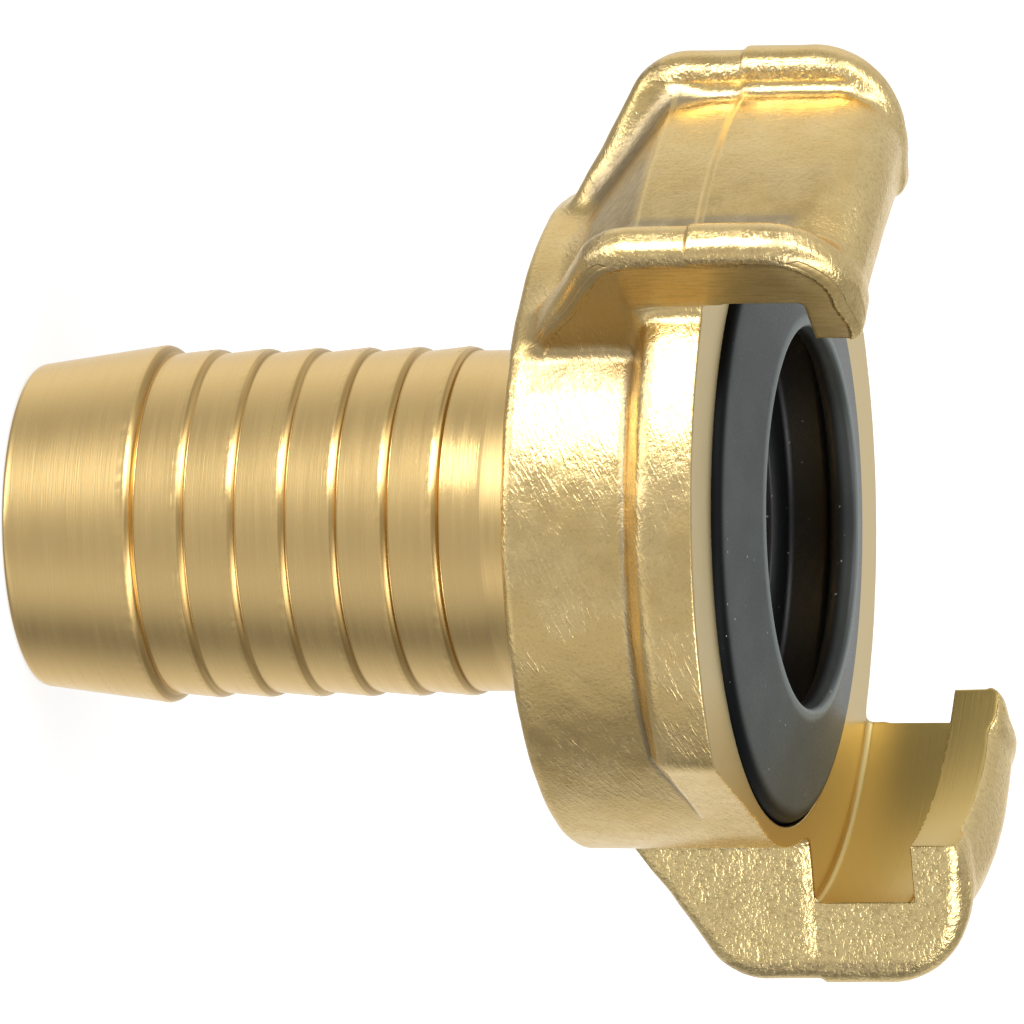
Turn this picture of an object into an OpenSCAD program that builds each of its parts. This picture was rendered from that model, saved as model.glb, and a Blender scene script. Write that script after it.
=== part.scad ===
// Claw coupling with a barbed hose tail and a rubber face seal, in millimetres.
// The axis is Z. The hose tail's end face lies on z = 0 and the claws point up.
// Angles run counter-clockwise seen from the claw end, from the middle of the first claw on +X.

/* [Hose tail] */
// Length of the hose tail, from its end face to the back of the head
tail_length = 32.7; // [31:0.1:60]
// Radius of the tail beside its end face
tail_end_r = 9.55; // [9:0.05:10]
// Radius over the first barb
first_barb_r = 10.55; // [10.2:0.05:11.5]
// Radius over the other barbs
barb_r = 10.27; // [10.15:0.01:11]
// Radius at the foot of the barbs
root_r = 10.02; // [9.6:0.01:10.1]
// Height of the first barb's edge above the end face
first_barb_z = 7.6; // [4:0.1:8.5]
// Distance from barb to barb
barb_pitch = 3.08; // [2:0.01:3.4]
// Number of barbs
barb_count = 7; // [3:1:7]
// Axial length of the step behind a barb's edge
barb_drop = 0.45; // [0.2:0.05:0.8]
// Radius of the water way through the tail
bore_r = 7.75; // [6:0.05:8.3]
// Length of the cone that joins the tail to the head
neck_length = 3.4; // [2:0.1:4]

/* [Head] */
// Length of the head, from its back to the machined front face
head_length = 12.4; // [11.5:0.1:16]
// Radius of the round head between the flange segments
body_r = 19.3; // [19.1:0.05:19.7]
// Rounding of the head's back edge
back_edge = 0.7; // [0.3:0.1:1.5]

/* [Flange segments] */
// Radius over the flange segments
flange_r = 23; // [21:0.1:23.2]
// Thickness of a flange segment at its rim
flange_rim = 3.3; // [2.5:0.1:4]
// Slope of the back of a flange segment
flange_draft = 23; // [10:1:28]
// Angle at which the rim of a segment ends and runs out flat
flange_end = 92; // [70:1:100]
// Slope of the lead-in across the segment
lead_draft = 36; // [30:1:40]
// Slope of the lead-in along the segment
lead_tilt = 14; // [8:1:18]

/* [Claws] */
// Inside radius of the claw lips, half of the claw spacing
lip_r = 20; // [19.9:0.05:20.4]
// Inside radius of the slot under a lip
slot_r = 23.5; // [23.3:0.05:24]
// Width of the slot, from the front face to the lip
slot_width = 6; // [5.5:0.1:7.5]
// Radius over the ribs on the back of a claw
claw_r = 28.8; // [28:0.1:30]
// Width of the ribs
rib_width = 2.7; // [2.4:0.1:3.6]
// Rounding of the ribs' edges
rib_round = 1.15; // [0.8:0.05:1.2]
// Angle from the middle of a claw to the middle of each rib
rib_angle = 18.6; // [16:0.1:19.5]
// Depth of the finger recess between the ribs
recess_depth = 2.4; // [1.5:0.1:3.2]
// Step in the back of a claw where the two forging dies met, level with the front face
die_step = 0.25; // [0.1:0.05:0.4]
// Thickness of the lip beside the ribs
lip_thick = 3; // [2:0.05:3.5]
// How far the middle of the claw's front stands ahead of its ribs
crown = 0.45; // [0.3:0.05:1.2]
// Slope of the ribs behind the claw, from the radial direction
rib_slope = 30; // [25:1:36]

/* [Seal] */
// Radius of the seal at the front face
seal_r = 18.15; // [17.5:0.05:18.3]
// Extra radius of the seal's foot, which holds it in its groove
seal_spread = 0.25; // [0:0.05:0.4]
// Radius of the seal's bore
seal_bore_r = 11; // [9:0.1:12]
// Radius of the crest of the sealing lip
crest_r = 11.5; // [11.3:0.1:13]
// Height of the crest above the front face
crest_height = 1.6; // [1:0.1:2]
// Depth of the seal's groove in the head
seal_depth = 5; // [4:0.1:5.6]
// Depth of the hollow behind the sealing lip
hollow = 2; // [1:0.1:3]
// Gap between the seal and the side of its groove
seal_gap = 0.1; // [0.05:0.05:0.2]

/* [Hidden] */
$fn = 96;

face_z = tail_length + head_length;
lip_z = face_z + slot_width;
end_edge = 0.5;
crest_flat = 0.12;
overlap = 0.8;
stock = 0.4;
brass = [0.80, 0.66, 0.40];
rubber = [0.30, 0.33, 0.34];

// Points of an arc round a centre
function arc(centre, r, from, to, steps = 8) =
    [for (i = [0:steps]) let (a = from + (to - from) * i / steps) centre + r * [cos(a), sin(a)]];

// The edge of one barb: its crest, and the short step down behind it
function barb(i) =
    let (z = first_barb_z + i * barb_pitch, r = i == 0 ? first_barb_r : barb_r)
    [[r, z], [r, z + crest_flat], [root_r, z + crest_flat + barb_drop]];

neck_step = 0.25;
neck_r = root_r + neck_step;
neck_z = tail_length - neck_length;
neck_cone = 20;
neck_fillet = 1.3;
fillet_z = tail_length - neck_fillet * (1 - sin(neck_cone));
fillet_r = neck_r + (fillet_z - neck_z) * tan(neck_cone);
fillet_centre = [fillet_r + neck_fillet * cos(neck_cone), tail_length - neck_fillet];

// Turned hose tail with its sawtooth barbs and the neck that flares into the head
module hose_tail() {
    rotate_extrude()
        polygon(concat(
            [[0, 0], [tail_end_r - end_edge, 0], [tail_end_r, end_edge]],
            [for (i = [0:barb_count - 1]) each barb(i)],
            [[neck_r, neck_z]],
            arc(fillet_centre, neck_fillet, 180 - neck_cone, 90, 5),
            [[fillet_centre[0], tail_length + overlap], [0, tail_length + overlap]]
        ));
}

// Round head, a little longer than the finished one so that its face can be turned flat
module head() {
    rotate_extrude()
        polygon(concat(
            [[0, tail_length]],
            arc([body_r - back_edge, tail_length + back_edge], back_edge, -90, 0, 6),
            [[body_r, face_z + stock], [0, face_z + stock]]
        ));
}

flange_root = 2;
flange_inner_r = body_r - flange_root;
rim_z = face_z - flange_rim;
rim_round = 0.5;
runout_angle = flange_end + acos(body_r / flange_r);
runout_depth = 0.06;

// Height of a flange segment's back at a radius
function flange_back(r) = rim_z - (flange_r - r) * tan(flange_draft);

// One flange segment: it grips behind the claw of the other coupling, and its end runs out
// flat and thin so that the claw can climb on
module flange_segment() {
    difference() {
        rotate([0, 0, rib_angle])
            rotate_extrude(angle = runout_angle - rib_angle)
                polygon(concat(
                    [[flange_inner_r, flange_back(flange_inner_r)]],
                    arc([flange_r - rim_round, rim_z + rim_round * cos(flange_draft)], rim_round,
                        flange_draft - 90, 0, 4),
                    [[flange_r, face_z + stock], [flange_inner_r, face_z + stock]]
                ));
        rotate([0, 0, runout_angle])
            translate([body_r - runout_depth, -flange_r, rim_z - head_length])
                cube([flange_r, 2 * flange_r, 2 * head_length]);
        rotate([0, 0, flange_end])
            translate([flange_r, 0, rim_z])
                rotate([lead_tilt, -lead_draft, 0])
                    translate([-2 * head_length, -head_length / 4, -head_length])
                        cube([4 * head_length, 3 * head_length, head_length]);
    }
}

floor_r = claw_r - recess_depth;
rib_front_z = lip_z + lip_thick;
claw_root = 1.8;
rear_bend = 4;
rear_bend_z = tail_length + 9;
front_bend = 5;
bend_turn = 90 - rib_slope;
top_turn = 12;
front_turn = 30;
rear_centre = [claw_r - die_step - rear_bend, rear_bend_z];
front_centre = [claw_r - front_bend, rib_front_z - front_bend];
slope_top = rear_centre + rear_bend * [cos(bend_turn), -sin(bend_turn)];
foot_r = body_r - claw_root;
foot_z = slope_top[1] - (slope_top[0] - foot_r) * tan(rib_slope);
skirt = 1;
clear_r = claw_r + rib_width;

// Outline of a claw's side: up behind the claw, round its two shoulders and down its front
function side_outline() =
    concat(
        [[foot_r, foot_z]],
        arc(rear_centre, rear_bend, -bend_turn, -top_turn, 6),
        [[clear_r, rear_centre[1]], [clear_r, front_centre[1]]],
        arc(front_centre, front_bend, top_turn, 90, 8),
        [[foot_r, rib_front_z]]
    );

// Section across a rib, with its top on x = 0 and its edges rounded
module rib_section(shoulder) {
    half = rib_width / 2;
    rounded = arc([-rib_round, half - rib_round], rib_round, 0, 90, 4);
    one_side = concat(rounded, [[-rib_round - skirt, half], [-rib_round - skirt, half + shoulder],
                                [-clear_r, half + shoulder]]);
    polygon(concat(one_side, [for (i = [len(one_side) - 1:-1:0]) [one_side[i][0], -one_side[i][1]]]));
}

// Rib section carried along the outline where the outline has turned by an angle
module rib_run(centre, bend, turn) {
    translate([centre[0], 0, centre[1]])
        rotate([0, turn, 0])
            translate([bend, 0, 0])
                linear_extrude(4 * claw_r, center = true)
                    rib_section(skirt);
}

// Side of a claw: a plate with round edges, which stands above the recess as a rib
module claw_side() {
    intersection() {
        union() {
            translate([claw_r - die_step, 0, 0])
                linear_extrude(face_z)
                    rib_section(0);
            translate([claw_r, 0, face_z])
                linear_extrude(front_z)
                    rib_section(0);
        }
        rotate([90, 0, 0])
            linear_extrude(4 * rib_width, center = true)
                polygon(side_outline());
        rib_run(rear_centre, rear_bend, bend_turn);
        rib_run(rear_centre, rear_bend, bend_turn / 2);
        rib_run(front_centre, front_bend, -front_turn);
        rib_run(front_centre, front_bend, -2 * front_turn);
        rib_run(front_centre, front_bend, -3 * front_turn);
    }
}

front_z = rib_front_z + crown;
front_round = 3.6;
crown_r = pow(claw_r * sin(rib_angle), 2) / (2 * crown);
recess_back = 3.9;
recess_back_z = face_z - recess_back;
slope_foot = 2.6;
slope_foot_z = tail_length + slope_foot;
lip_chamfer = 0.6;

// Middle of the claw, with the recess floor and a front that bulges between the ribs
module claw_core() {
    intersection() {
        rotate([0, 0, -rib_angle])
            rotate_extrude(angle = 2 * rib_angle)
                polygon(concat(
                    [[foot_r, slope_foot_z], [body_r, slope_foot_z], [floor_r - die_step, recess_back_z],
                     [floor_r - die_step, face_z], [floor_r, face_z]],
                    arc([floor_r - front_round, front_z - front_round], front_round, 0, 90),
                    [[lip_r + 1.5 * lip_chamfer, front_z], [lip_r, front_z - lip_chamfer],
                     [foot_r, front_z - lip_chamfer]]
                ));
        translate([0, 0, front_z - crown_r])
            rotate([0, 90, 0])
                cylinder(h = claw_r + overlap, r = crown_r);
    }
}

module claw() {
    claw_core();
    for (side = [-1, 1])
        rotate([0, 0, side * rib_angle])
            claw_side();
}

slot_fillet = 0.4;
quarter = 90;

// What the lathe takes away: the flat face, the slots under the lips and the lips' inner side
module turned_front() {
    rotate([0, 0, quarter])
        rotate_extrude()
            polygon(concat(
                [[0, face_z]],
                arc([slot_r - slot_fillet, face_z + slot_fillet], slot_fillet, -90, 0, 4),
                arc([slot_r - slot_fillet, lip_z - slot_fillet], slot_fillet, 0, 90, 4),
                [[lip_r, lip_z], [lip_r, front_z + overlap], [0, front_z + overlap]]
            ));
}

groove_z = face_z - seal_depth;
groove_r = seal_r + seal_gap;
mouth_r = seal_bore_r;
mouth_depth = 1.6;
throat_z = groove_z - mouth_depth - (mouth_r - bore_r);
bore_edge = 0.6;

// Water way: bore, cone behind the seal, and the groove that holds the seal
module water_way() {
    rotate([0, 0, quarter])
        rotate_extrude()
            polygon([
                [0, -overlap], [bore_r + bore_edge + overlap, -overlap], [bore_r, bore_edge],
                [bore_r, throat_z], [mouth_r, groove_z - mouth_depth], [mouth_r, groove_z],
                [groove_r + seal_spread, groove_z], [groove_r, face_z],
                [groove_r, face_z + overlap], [0, face_z + overlap]
            ]);
}

// One forged and turned brass piece
module coupling_body() {
    color(brass)
        difference() {
            union() {
                hose_tail();
                head();
                for (turn = [0, 180])
                    rotate([0, 0, turn])
                        flange_segment();
                for (turn = [0, 180])
                    rotate([0, 0, turn])
                        claw();
            }
            turned_front();
            water_way();
        }
}

crest_z = face_z + crest_height;
crest_round = 0.35;
seal_edge = 0.4;
lip_wall = 1.4;
hollow_z = crest_z - lip_wall;
foot_wall = 1.5;
hollow_foot_z = groove_z + foot_wall;

// Moulded rubber ring with a sealing lip and a hollow behind it that the water pressure fills
module seal_ring() {
    color(rubber)
        rotate_extrude()
            polygon(concat(
                [[seal_bore_r, groove_z], [seal_r + seal_spread, groove_z], [seal_r, face_z - seal_edge],
                 [seal_r - seal_edge, face_z]],
                arc([crest_r, crest_z - crest_round], crest_round, 75, 180, 5),
                [[seal_bore_r, crest_z - 2 * crest_round], [seal_bore_r, hollow_z],
                 [seal_bore_r + hollow, hollow_z - hollow / 2], [seal_bore_r + hollow, hollow_foot_z + hollow / 4],
                 [seal_bore_r, hollow_foot_z]]
            ));
}

coupling_body();
seal_ring();
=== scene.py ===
import math
import bpy
import numpy as np
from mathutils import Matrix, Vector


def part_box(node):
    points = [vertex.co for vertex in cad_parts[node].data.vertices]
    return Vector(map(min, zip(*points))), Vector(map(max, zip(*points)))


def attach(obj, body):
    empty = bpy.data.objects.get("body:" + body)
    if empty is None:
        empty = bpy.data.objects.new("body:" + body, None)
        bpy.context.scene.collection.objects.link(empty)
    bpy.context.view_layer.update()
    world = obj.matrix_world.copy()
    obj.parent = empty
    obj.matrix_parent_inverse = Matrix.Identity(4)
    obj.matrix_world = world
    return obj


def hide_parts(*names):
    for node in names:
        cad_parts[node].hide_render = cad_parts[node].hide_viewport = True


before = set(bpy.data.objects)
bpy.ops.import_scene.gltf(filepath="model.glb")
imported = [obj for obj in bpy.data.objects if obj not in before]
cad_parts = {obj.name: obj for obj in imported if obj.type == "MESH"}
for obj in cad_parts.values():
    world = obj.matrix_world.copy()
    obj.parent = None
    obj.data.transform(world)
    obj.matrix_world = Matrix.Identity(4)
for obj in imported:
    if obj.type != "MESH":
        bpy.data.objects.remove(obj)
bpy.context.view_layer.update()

import openvdb
from mathutils import Matrix, Vector

# Lengths in the dictionaries are millimetres, angles are degrees.
# Angles round the axis run counter-clockwise from the middle of the first claw on +X.
mm = 0.001
bodyHigh = np.array(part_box("coupling_body")[1]) / mm
sealLow, sealHigh = (np.array(c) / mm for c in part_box("seal_ring"))


# Helpers for meshes

def meshFromArrays(name, points, faces):
    mesh = bpy.data.meshes.new(name)
    mesh.vertices.add(len(points))
    mesh.vertices.foreach_set("co", np.asarray(points, np.float32).ravel())
    corners = faces.shape[1]
    mesh.loops.add(faces.size)
    mesh.loops.foreach_set("vertex_index", faces.astype(np.int32).ravel())
    mesh.polygons.add(len(faces))
    mesh.polygons.foreach_set("loop_start", np.arange(0, faces.size, corners, dtype=np.int32))
    mesh.update(calc_edges=True)
    mesh.validate()
    piece = bpy.data.objects.new(name, mesh)
    bpy.context.scene.collection.objects.link(piece)
    return piece


# A closed ring of (radius, height) points turned round the axis
def turnedRing(name, outline, segments, wobble=None):
    outline = np.array(outline)
    count = len(outline)
    angles = np.arange(segments) * (2 * math.pi / segments)
    radius = np.repeat(outline[None, :, 0], segments, axis=0)
    height = np.repeat(outline[None, :, 1], segments, axis=0)
    if wobble is not None:
        radius = radius + wobble(angles[:, None], radius, height)
    points = np.stack([radius * np.cos(angles)[:, None], radius * np.sin(angles)[:, None], height], axis=-1)
    here = np.arange(segments * count).reshape(segments, count)
    ahead = np.roll(here, -1, axis=0)
    faces = np.stack([here, ahead, np.roll(ahead, -1, axis=1), np.roll(here, -1, axis=1)], axis=-1)
    return meshFromArrays(name, points.reshape(-1, 3) * mm, faces.reshape(-1, 4))


def arcPoints(centre, radius, start, end, steps):
    angles = np.radians(np.linspace(start, end, steps + 1))
    return [(centre[0] + radius * math.cos(a), centre[1] + radius * math.sin(a)) for a in angles]


def applyModifiers(piece):
    bpy.context.view_layer.objects.active = piece
    for modifier in list(piece.modifiers):
        bpy.ops.object.modifier_apply(modifier=modifier.name)


# The forged head, as a field of distances that is negative inside the metal

forging = dict(
    headBack=32.7,          # back of the head, where the neck starts
    faceZ=45.1,             # machined front face
    headRadius=19.3,
    backEdge=0.75,
    flangeRadius=bodyHigh[1],
    flangeRim=3.3,          # thickness of a flange segment at its rim
    flangeDraft=23,
    flangeRound=0.9,        # rounding of the rim's back edge
    flatInset=0.06,         # how far the flat lies inside the head's radius
    flatRound=0.4,
    leadRound=0.12,
    tailRound=0.08,
    flangeEnd=92,           # where the rim ends and runs out flat
    leadZ=42.05,            # back edge of the flat, and how it falls towards the flange's root
    leadFall=0.95,
    flatTail=2.7,           # the flat stops this far before it meets the head's curve
    clawRadius=28.8,        # over the ribs
    ribAngle=18.6,
    ribWidth=2.7,
    ribRound=1.15,
    lipRound=0.7,           # rounding of the claw's side edges beside the lip
    lipTurn=0.25,           # the lip's tip bends back this much
    ribFillet=0.8,
    slopeFillet=2.4,        # the ribs' feet on the rear slope
    filletTurns=(40.0, 43.5),
    lipEdge=(21.0, 23.5),   # the side edges' rounding grows between these radii
    clawInside=16.5,        # the claws start at this distance from the axis
    flangeFillet=0.55,
    filletThins=(80, 96),   # the flange's fillet thins between these angles, by this share
    filletThinning=0.8,
    rootFillet=1.0,
    sideStep=0.12,          # step below the bead on one side of each claw, and how soft it is
    sideStepSoft=0.12,
    ribSlope=30,
    rearBend=4.0,
    rearBendZ=41.7,
    frontBend=5.0,
    ribFrontZ=54.1,
    recessFloor=26.4,
    dieStep=0.25,           # the half behind the face plane is this much lower
    dieSoft=0.15,
    floorStep=(0.35, 0.25),
    floorRound=0.25,
    recessBackZ=41.2,
    slopeFoot=(19.3, 35.3),
    frontRound=3.4,
    innerFrontZ=53.95,
    crownRadius=23.4,       # where the claw's front stands highest
    crownHalf=7.6,          # half of the front's breadth
    valley=0.16,            # shallow valley in one side of each claw, at the face plane
    valleyWidth=0.5,
    waviness=0.03,
    neckCore=(9.6, 32.0, 34.0),    # plug that the tail's tube joins: radius, start and end
)
machining = dict(
    slotRadius=23.5, slotFillet=0.4, lipZ=51.1, lipRadius=20.0, edgeBreak=0.14,
    grooveRadius=18.05, grooveSpread=0.4, grooveZ=40.1,
    mouthRadius=11.0, mouthZ=38.5, boreRadius=7.75, throatZ=35.25,
    tubeRoom=(8.6, 34.5),      # room for the hose tail's own tube
)
field = dict(
    voxel=0.15, margin=0.75, triangles=112000, lowZ=31.4, slab=12,
    slopeReach=0.02, hollowReach=0.35,
    # shading: how far in from a corner a face is asked, and the angles past which a normal isn't believed
    inset=0.3, crease=14, wild=50, tailEdge=0.03, tubeRadius=11.9, tubeZ=36,
)


def smoothStep(low, high, value):
    t = np.clip((value - low) / (high - low), 0, 1)
    return t * t * (3 - 2 * t)


# Corner of two faces, rounded with the given radius
def roundedCorner(a, b, edge):
    return np.hypot(np.maximum(a, 0), np.maximum(b, 0)) + np.minimum(np.maximum(a, b), 0) - edge


# Union and cut with a rounded join of about the given size
def blendUnion(a, b, size):
    h = np.clip(0.5 + 0.5 * (b - a) / size, 0, 1)
    return b + (a - b) * h - size * h * (1 - h)


def blendCut(a, b, size):
    return -blendUnion(-a, -b, size)


def headField(radius, z):
    f = forging
    edge = f["backEdge"]
    top = f["faceZ"] + 1
    middle, half = (f["headBack"] + top) / 2, (top - f["headBack"]) / 2
    across = radius - (f["headRadius"] - edge)
    along = np.abs(z - middle) - (half - edge)
    return roundedCorner(across, along, edge)


def flangeField(x, y, z, radius):
    f = forging
    rimZ = f["faceZ"] - f["flangeRim"]
    draft = math.radians(f["flangeDraft"])
    back = (rimZ - (f["flangeRadius"] - radius) * math.tan(draft) - z) * math.cos(draft)
    segment = blendCut(back, radius - f["flangeRadius"], f["flangeRound"])
    segment = np.maximum(segment, z - f["faceZ"] - 0.5)
    runOut = math.radians(f["flangeEnd"]) + math.acos(f["headRadius"] / f["flangeRadius"])
    flat = x * math.cos(runOut) + y * math.sin(runOut) - (f["headRadius"] - f["flatInset"])
    along = y * math.cos(runOut) - x * math.sin(runOut)
    segment = blendCut(segment, flat, f["flatRound"])
    leadIn = (f["leadZ"] + f["leadFall"] * flat - z) / math.hypot(1, f["leadFall"])
    segment = blendCut(segment, leadIn, f["leadRound"])
    start = math.radians(f["ribAngle"])
    segment = np.maximum(segment, x * math.sin(start) - y * math.cos(start))
    return blendCut(segment, along + f["flatTail"], f["tailRound"])


# Outline of a claw seen from its side: rear slope, two round shoulders and the front
def sideOutline(u, z):
    f = forging
    behind = 1 - smoothStep(f["faceZ"] - f["dieSoft"], f["faceZ"] + f["dieSoft"], z)
    top = f["clawRadius"] - f["dieStep"] * behind
    slope = math.radians(f["ribSlope"])
    rearU, rearZ = top - f["rearBend"], f["rearBendZ"]
    frontU, frontZ = top - f["frontBend"], f["ribFrontZ"] - f["frontBend"]
    rear = (u - rearU) * math.sin(slope) - (z - rearZ) * math.cos(slope) - f["rearBend"]
    tip = f["lipTurn"] * np.clip(machining["lipRadius"] + 1 - u, 0, 1) ** 2
    outline = np.maximum(np.maximum(u - top, rear), z - f["ribFrontZ"] + tip)
    rearTurn = np.degrees(np.arctan2(rearZ - z, u - rearU))
    atRear = (rearTurn > 0) & (rearTurn < 90 - f["ribSlope"])
    outline = np.where(atRear, np.hypot(u - rearU, z - rearZ) - f["rearBend"], outline)
    atFront = (u > frontU) & (z > frontZ)
    return np.where(atFront, np.hypot(u - frontU, z - frontZ) - f["frontBend"], outline)


def clawField(x, y, z, radius):
    f = forging
    angle = math.radians(f["ribAngle"])
    u = x * math.cos(angle) + np.abs(y) * math.sin(angle)
    v = np.abs(y) * math.cos(angle) - x * math.sin(angle)
    edge = f["lipRound"] + (f["ribRound"] - f["lipRound"]) * smoothStep(*f["lipEdge"], u)
    inset = sideOutline(u, z) + edge
    valley = f["valley"] * np.exp(-((z - f["faceZ"]) / f["valleyWidth"]) ** 2)
    valley = valley * smoothStep(0.0, 1.0, -inset)
    step = f["sideStep"] * smoothStep(0.0, f["sideStepSoft"], -inset)
    across = np.abs(v) - f["ribWidth"] / 2 + edge + np.where(y > 0, step, valley)
    rib = roundedCorner(inset, across, edge)

    below, above = f["floorStep"]
    lower = f["dieStep"] * (1 - smoothStep(f["faceZ"] - below, f["faceZ"] + above, z))
    floorRadius = f["recessFloor"] - lower
    rise = f["recessFloor"] - f["dieStep"] - f["slopeFoot"][0]
    run = f["recessBackZ"] - f["slopeFoot"][1]
    length = math.hypot(rise, run)
    slope = ((radius - f["slopeFoot"][0]) * run - (z - f["slopeFoot"][1]) * rise) / length
    crown = f["ribFrontZ"] + (bodyHigh[2] - f["ribFrontZ"]) * (1 - (y / f["crownHalf"]) ** 2)
    drop = (bodyHigh[2] - f["innerFrontZ"]) / (f["crownRadius"] - machining["lipRadius"]) ** 2
    crown = crown - drop * np.minimum(radius - f["crownRadius"], 0) ** 2
    crown = crown - f["lipTurn"] * np.clip(machining["lipRadius"] + 1 - radius, 0, 1) ** 2
    front = z - crown
    core = blendCut(radius - floorRadius, slope, f["floorRound"])
    turn = f["frontRound"]
    outer = np.hypot(np.maximum(radius - floorRadius + turn, 0), np.maximum(front + turn, 0)) - turn
    core = np.where((radius > floorRadius - turn) & (front > -turn), outer, np.maximum(core, front))
    core = np.maximum(core, v)
    foot = f["slopeFillet"] + (f["ribFillet"] - f["slopeFillet"]) * smoothStep(*f["filletTurns"], z)
    claw = blendUnion(rib, core, foot)
    return np.maximum(claw, f["clawInside"] - x)


# What the lathe takes away in front: the face, the slots under the lips, the lips' inner side
def turnedFrontField(radius, z):
    m = machining
    edge = m["slotFillet"]
    middle, half = (forging["faceZ"] + m["lipZ"]) / 2, (m["lipZ"] - forging["faceZ"]) / 2
    across = radius - (m["slotRadius"] - edge)
    along = np.abs(z - middle) - (half - edge)
    slot = roundedCorner(across, along, edge)
    inside = np.maximum(radius - m["lipRadius"], forging["faceZ"] - z)
    flat = np.maximum(radius - m["slotRadius"] + 1, forging["faceZ"] - z)
    return np.minimum(np.minimum(slot, inside), np.where(z < forging["faceZ"] + 1, flat, inside))


def waterWayField(radius, z):
    m = machining
    faceZ = forging["faceZ"]
    groove = m["grooveRadius"] + m["grooveSpread"] * (faceZ - z) / (faceZ - m["grooveZ"])
    groove = np.maximum(radius - groove, m["grooveZ"] - z)
    mouth = np.maximum(radius - m["mouthRadius"], m["mouthZ"] - z)
    rise = m["mouthRadius"] - m["boreRadius"]
    run = m["mouthZ"] - m["throatZ"]
    cone = ((radius - m["boreRadius"]) * run - (z - m["throatZ"]) * rise) / math.hypot(rise, run)
    cone = np.maximum(cone, np.maximum(m["throatZ"] - z, z - m["mouthZ"] - 0.2))
    bore = radius - m["boreRadius"]
    tubeRadius, tubeZ = m["tubeRoom"]
    tube = np.maximum(radius - tubeRadius, z - tubeZ)
    return np.minimum(np.minimum(np.minimum(groove, mouth), np.minimum(cone, bore)), tube)


# Slight unevenness of the forging, the same on both halves
def unevenness(x, y, z):
    a = np.sin(1.15 * x + 0.7 * z + 0.5) * np.sin(0.9 * y - 0.8 * z + 1.3)
    b = np.sin(2.1 * x - 1.3 * y + 0.4) * np.sin(1.9 * z + 0.6 * y)
    return forging["waviness"] * (0.6 * a + 0.4 * b)


def couplingField(x, y, z):
    radius = np.hypot(x, y)
    body = headField(radius, z)
    segments = np.minimum(flangeField(x, y, z, radius), flangeField(-x, -y, z, radius))
    around = np.degrees(np.arctan2(y, x)) % 180
    thinning = forging["filletThinning"] * smoothStep(*forging["filletThins"], around)
    root = forging["flangeFillet"] * (1 - thinning)
    body = blendUnion(body, segments, root)
    body = blendUnion(body, clawField(x, y, z, radius), forging["rootFillet"])
    body = body - unevenness(x, y, z)
    coreRadius, coreStart, coreEnd = forging["neckCore"]
    body = np.minimum(body, np.maximum(np.maximum(radius - coreRadius, z - coreEnd), coreStart - z))
    body = blendCut(body, -turnedFrontField(radius, z), machining["edgeBreak"])
    body = blendCut(body, -waterWayField(radius, z), machining["edgeBreak"])
    return body


def makeHead():
    f = field
    step = f["voxel"]
    reachX = math.ceil((bodyHigh[0] + f["margin"]) / step)
    reachY = math.ceil((bodyHigh[1] + f["margin"]) / step)
    low = math.floor(f["lowZ"] / step)
    high = math.ceil((bodyHigh[2] + f["margin"]) / step)
    # Only the half with x >= 0 is worked out: the other half is the same after half a turn
    xs = (np.arange(0, reachX + 1) * step).astype(np.float32)
    ys = (np.arange(-reachY, reachY + 1) * step).astype(np.float32)
    zs = (np.arange(low, high + 1) * step).astype(np.float32)
    half = np.empty((len(xs), len(ys), len(zs)), np.float32)
    for start in range(0, len(xs), f["slab"]):
        x, y, z = np.meshgrid(xs[start:start + f["slab"]], ys, zs, indexing="ij")
        half[start:start + f["slab"]] = couplingField(x, y, z)
    whole = np.concatenate([half[:0:-1, ::-1], half], axis=0)
    clip = 3 * step
    np.clip(whole, -clip, clip, out=whole)
    grid = openvdb.FloatGrid(clip)
    grid.copyFromArray(np.ascontiguousarray(whole), ijk=(0, 0, 0), tolerance=0.0)
    grid.gridClass = openvdb.GridClass.LEVEL_SET
    points, quads = grid.convertToQuads(0.0)
    points = points * step + np.array([-reachX * step, -reachY * step, low * step])
    print("forged head field:", whole.shape, "quads:", len(quads))
    head = meshFromArrays("couplingBody", points * mm, quads[:, ::-1])
    thin = head.modifiers.new("thin", "DECIMATE")
    thin.ratio = f["triangles"] / (2 * len(quads))
    applyModifiers(head)
    print("forged head triangles:", len(head.data.polygons))
    return head


# Outward directions of the forged field at given points, in millimetres
def fieldNormals(points):
    behind = np.where(points[:, :1] < 0, -1.0, 1.0)
    x, y, z = points[:, 0] * behind[:, 0], points[:, 1] * behind[:, 0], points[:, 2]
    reach = field["slopeReach"]
    slopes = [couplingField(x + reach, y, z) - couplingField(x - reach, y, z),
              couplingField(x, y + reach, z) - couplingField(x, y - reach, z),
              couplingField(x, y, z + reach) - couplingField(x, y, z - reach)]
    normals = np.stack([slopes[0] * behind[:, 0], slopes[1] * behind[:, 0], slopes[2]], axis=1)
    return normals / np.maximum(np.linalg.norm(normals, axis=1, keepdims=True), 1e-9)


# How hollow the forging is round given points, from 0 to 1
def hollowness(points):
    behind = np.where(points[:, 0] < 0, -1.0, 1.0)
    x, y, z = points[:, 0] * behind, points[:, 1] * behind, points[:, 2]
    reach = field["hollowReach"]
    around = (couplingField(x + reach, y, z) + couplingField(x - reach, y, z)
              + couplingField(x, y + reach, z) + couplingField(x, y - reach, z)
              + couplingField(x, y, z + reach) + couplingField(x, y, z - reach))
    return np.clip((6 * couplingField(x, y, z) - around) / reach, 0, 1)


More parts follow.
